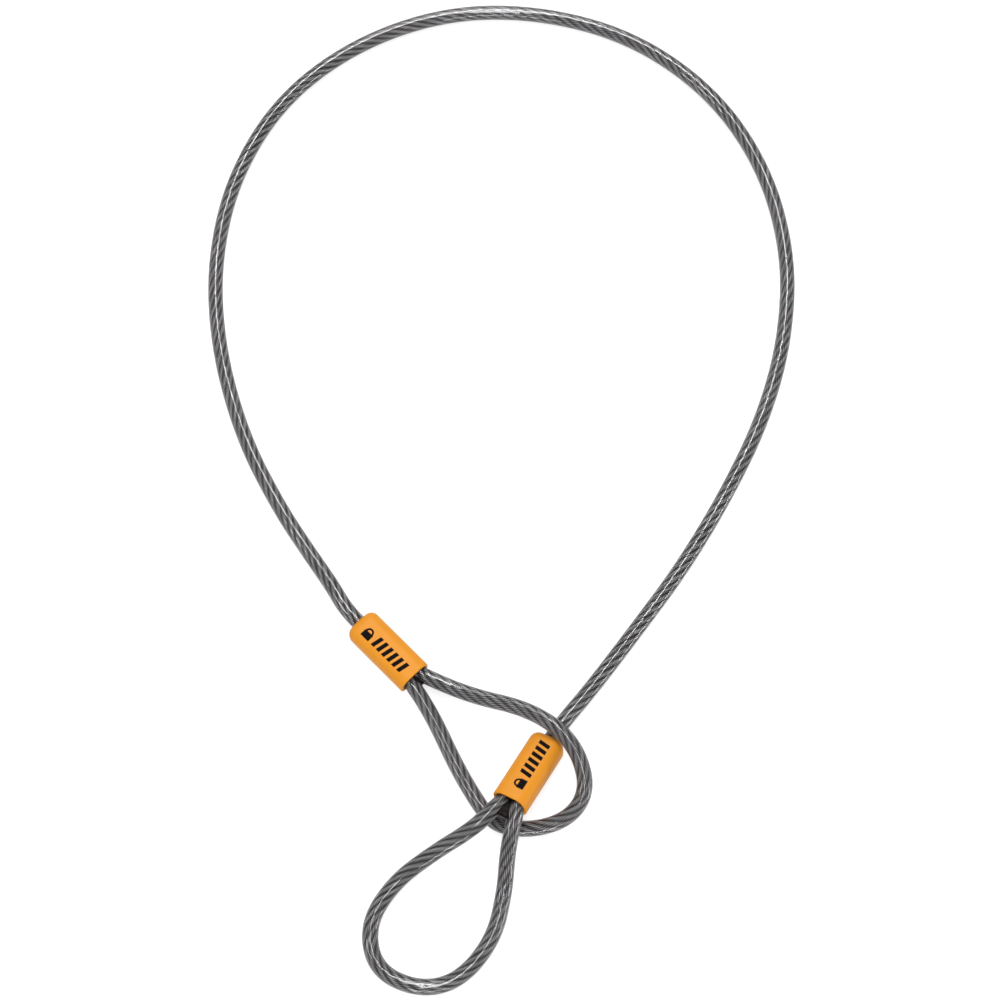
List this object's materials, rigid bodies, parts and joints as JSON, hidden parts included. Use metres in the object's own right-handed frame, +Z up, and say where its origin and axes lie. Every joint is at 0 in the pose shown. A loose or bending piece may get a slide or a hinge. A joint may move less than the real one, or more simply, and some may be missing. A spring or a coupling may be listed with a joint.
{
  "type": "looped security cable",
  "caption": "Jacketed steel security cable with a crimped eye at each end, one eye looped over the other end like a noose.",
  "frame": {"origin": "centre of the bounding box, on the surface that the cable lies on", "axes": "+Z up, +Y along the longest side from the lock eye to the far side of the main loop, +X across the main loop"},
  "size_m": [0.1978, 0.3438, 0.0151],
  "materials": {
    "clear_jacket": "gloss, clear smoke",
    "orange_cover": "satin, faint orange peel",
    "ferrule_aluminium": "dull, crimped",
    "wire_rope": "oiled galvanised wire"
  },
  "bodies": {
    "cable": {"main_jacket": "clear_jacket", "noose_eye_jacket": "clear_jacket", "noose_cover": "orange_cover", "lock_cover": "orange_cover", "noose_ferrule": "ferrule_aluminium", "lock_ferrule": "ferrule_aluminium", "lock_rope_tail": "wire_rope", "rope_core_strand": "wire_rope", "rope_outer_strand_1": "wire_rope", "rope_outer_strand_2": "wire_rope", "rope_outer_strand_3": "wire_rope", "rope_outer_strand_4": "wire_rope", "rope_outer_strand_5": "wire_rope", "rope_outer_strand_6": "wire_rope"},
    "lock_eye": {"lock_eye_jacket": "clear_jacket", "lock_eye_core_strand": "wire_rope", "lock_eye_outer_strand_1": "wire_rope", "lock_eye_outer_strand_2": "wire_rope", "lock_eye_outer_strand_3": "wire_rope", "lock_eye_outer_strand_4": "wire_rope", "lock_eye_outer_strand_5": "wire_rope", "lock_eye_outer_strand_6": "wire_rope"}
  },
  "joints": [
    {"name": "lock_eye_flex", "type": "hinge", "parent": "cable", "child": "lock_eye", "pos_m": [0.002, -0.11593, 0.0106], "axis": [-0.8643, 0.4607, -0.2017], "range_deg": [0, 30], "stiffness_Nm_per_rad": 0.5}
  ]
}
